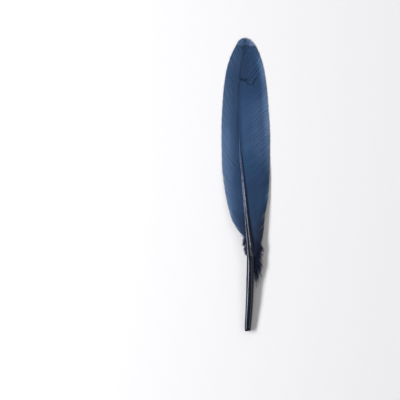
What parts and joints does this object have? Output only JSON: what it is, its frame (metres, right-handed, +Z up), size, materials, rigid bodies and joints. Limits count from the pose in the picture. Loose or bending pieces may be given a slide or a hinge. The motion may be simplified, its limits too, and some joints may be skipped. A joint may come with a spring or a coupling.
{
  "type": "goose quill feather",
  "caption": "Dyed wing feather with an open round quill, a squarish tapering shaft, a narrow and a wide arched vane of barb locks, and soft down at the foot.",
  "frame": {"origin": "Centre of the feather's outline on the surface that it lies on, under its arched back.", "axes": "+Y runs along the shaft from the cut quill end to the tip, +X towards the wide trailing vane, +Z up from the surface through the convex back."},
  "size_m": [0.0291, 0.176, 0.007],
  "materials": {
    "barb_vane": "satin slate blue dyed barbs, lighter at the edges",
    "quill_shaft": "glossy near-black navy dyed horn",
    "down_fluff": "soft matte dark navy down"
  },
  "bodies": {
    "root": {"feather": "barb_vane"}
  },
  "joints": []
}
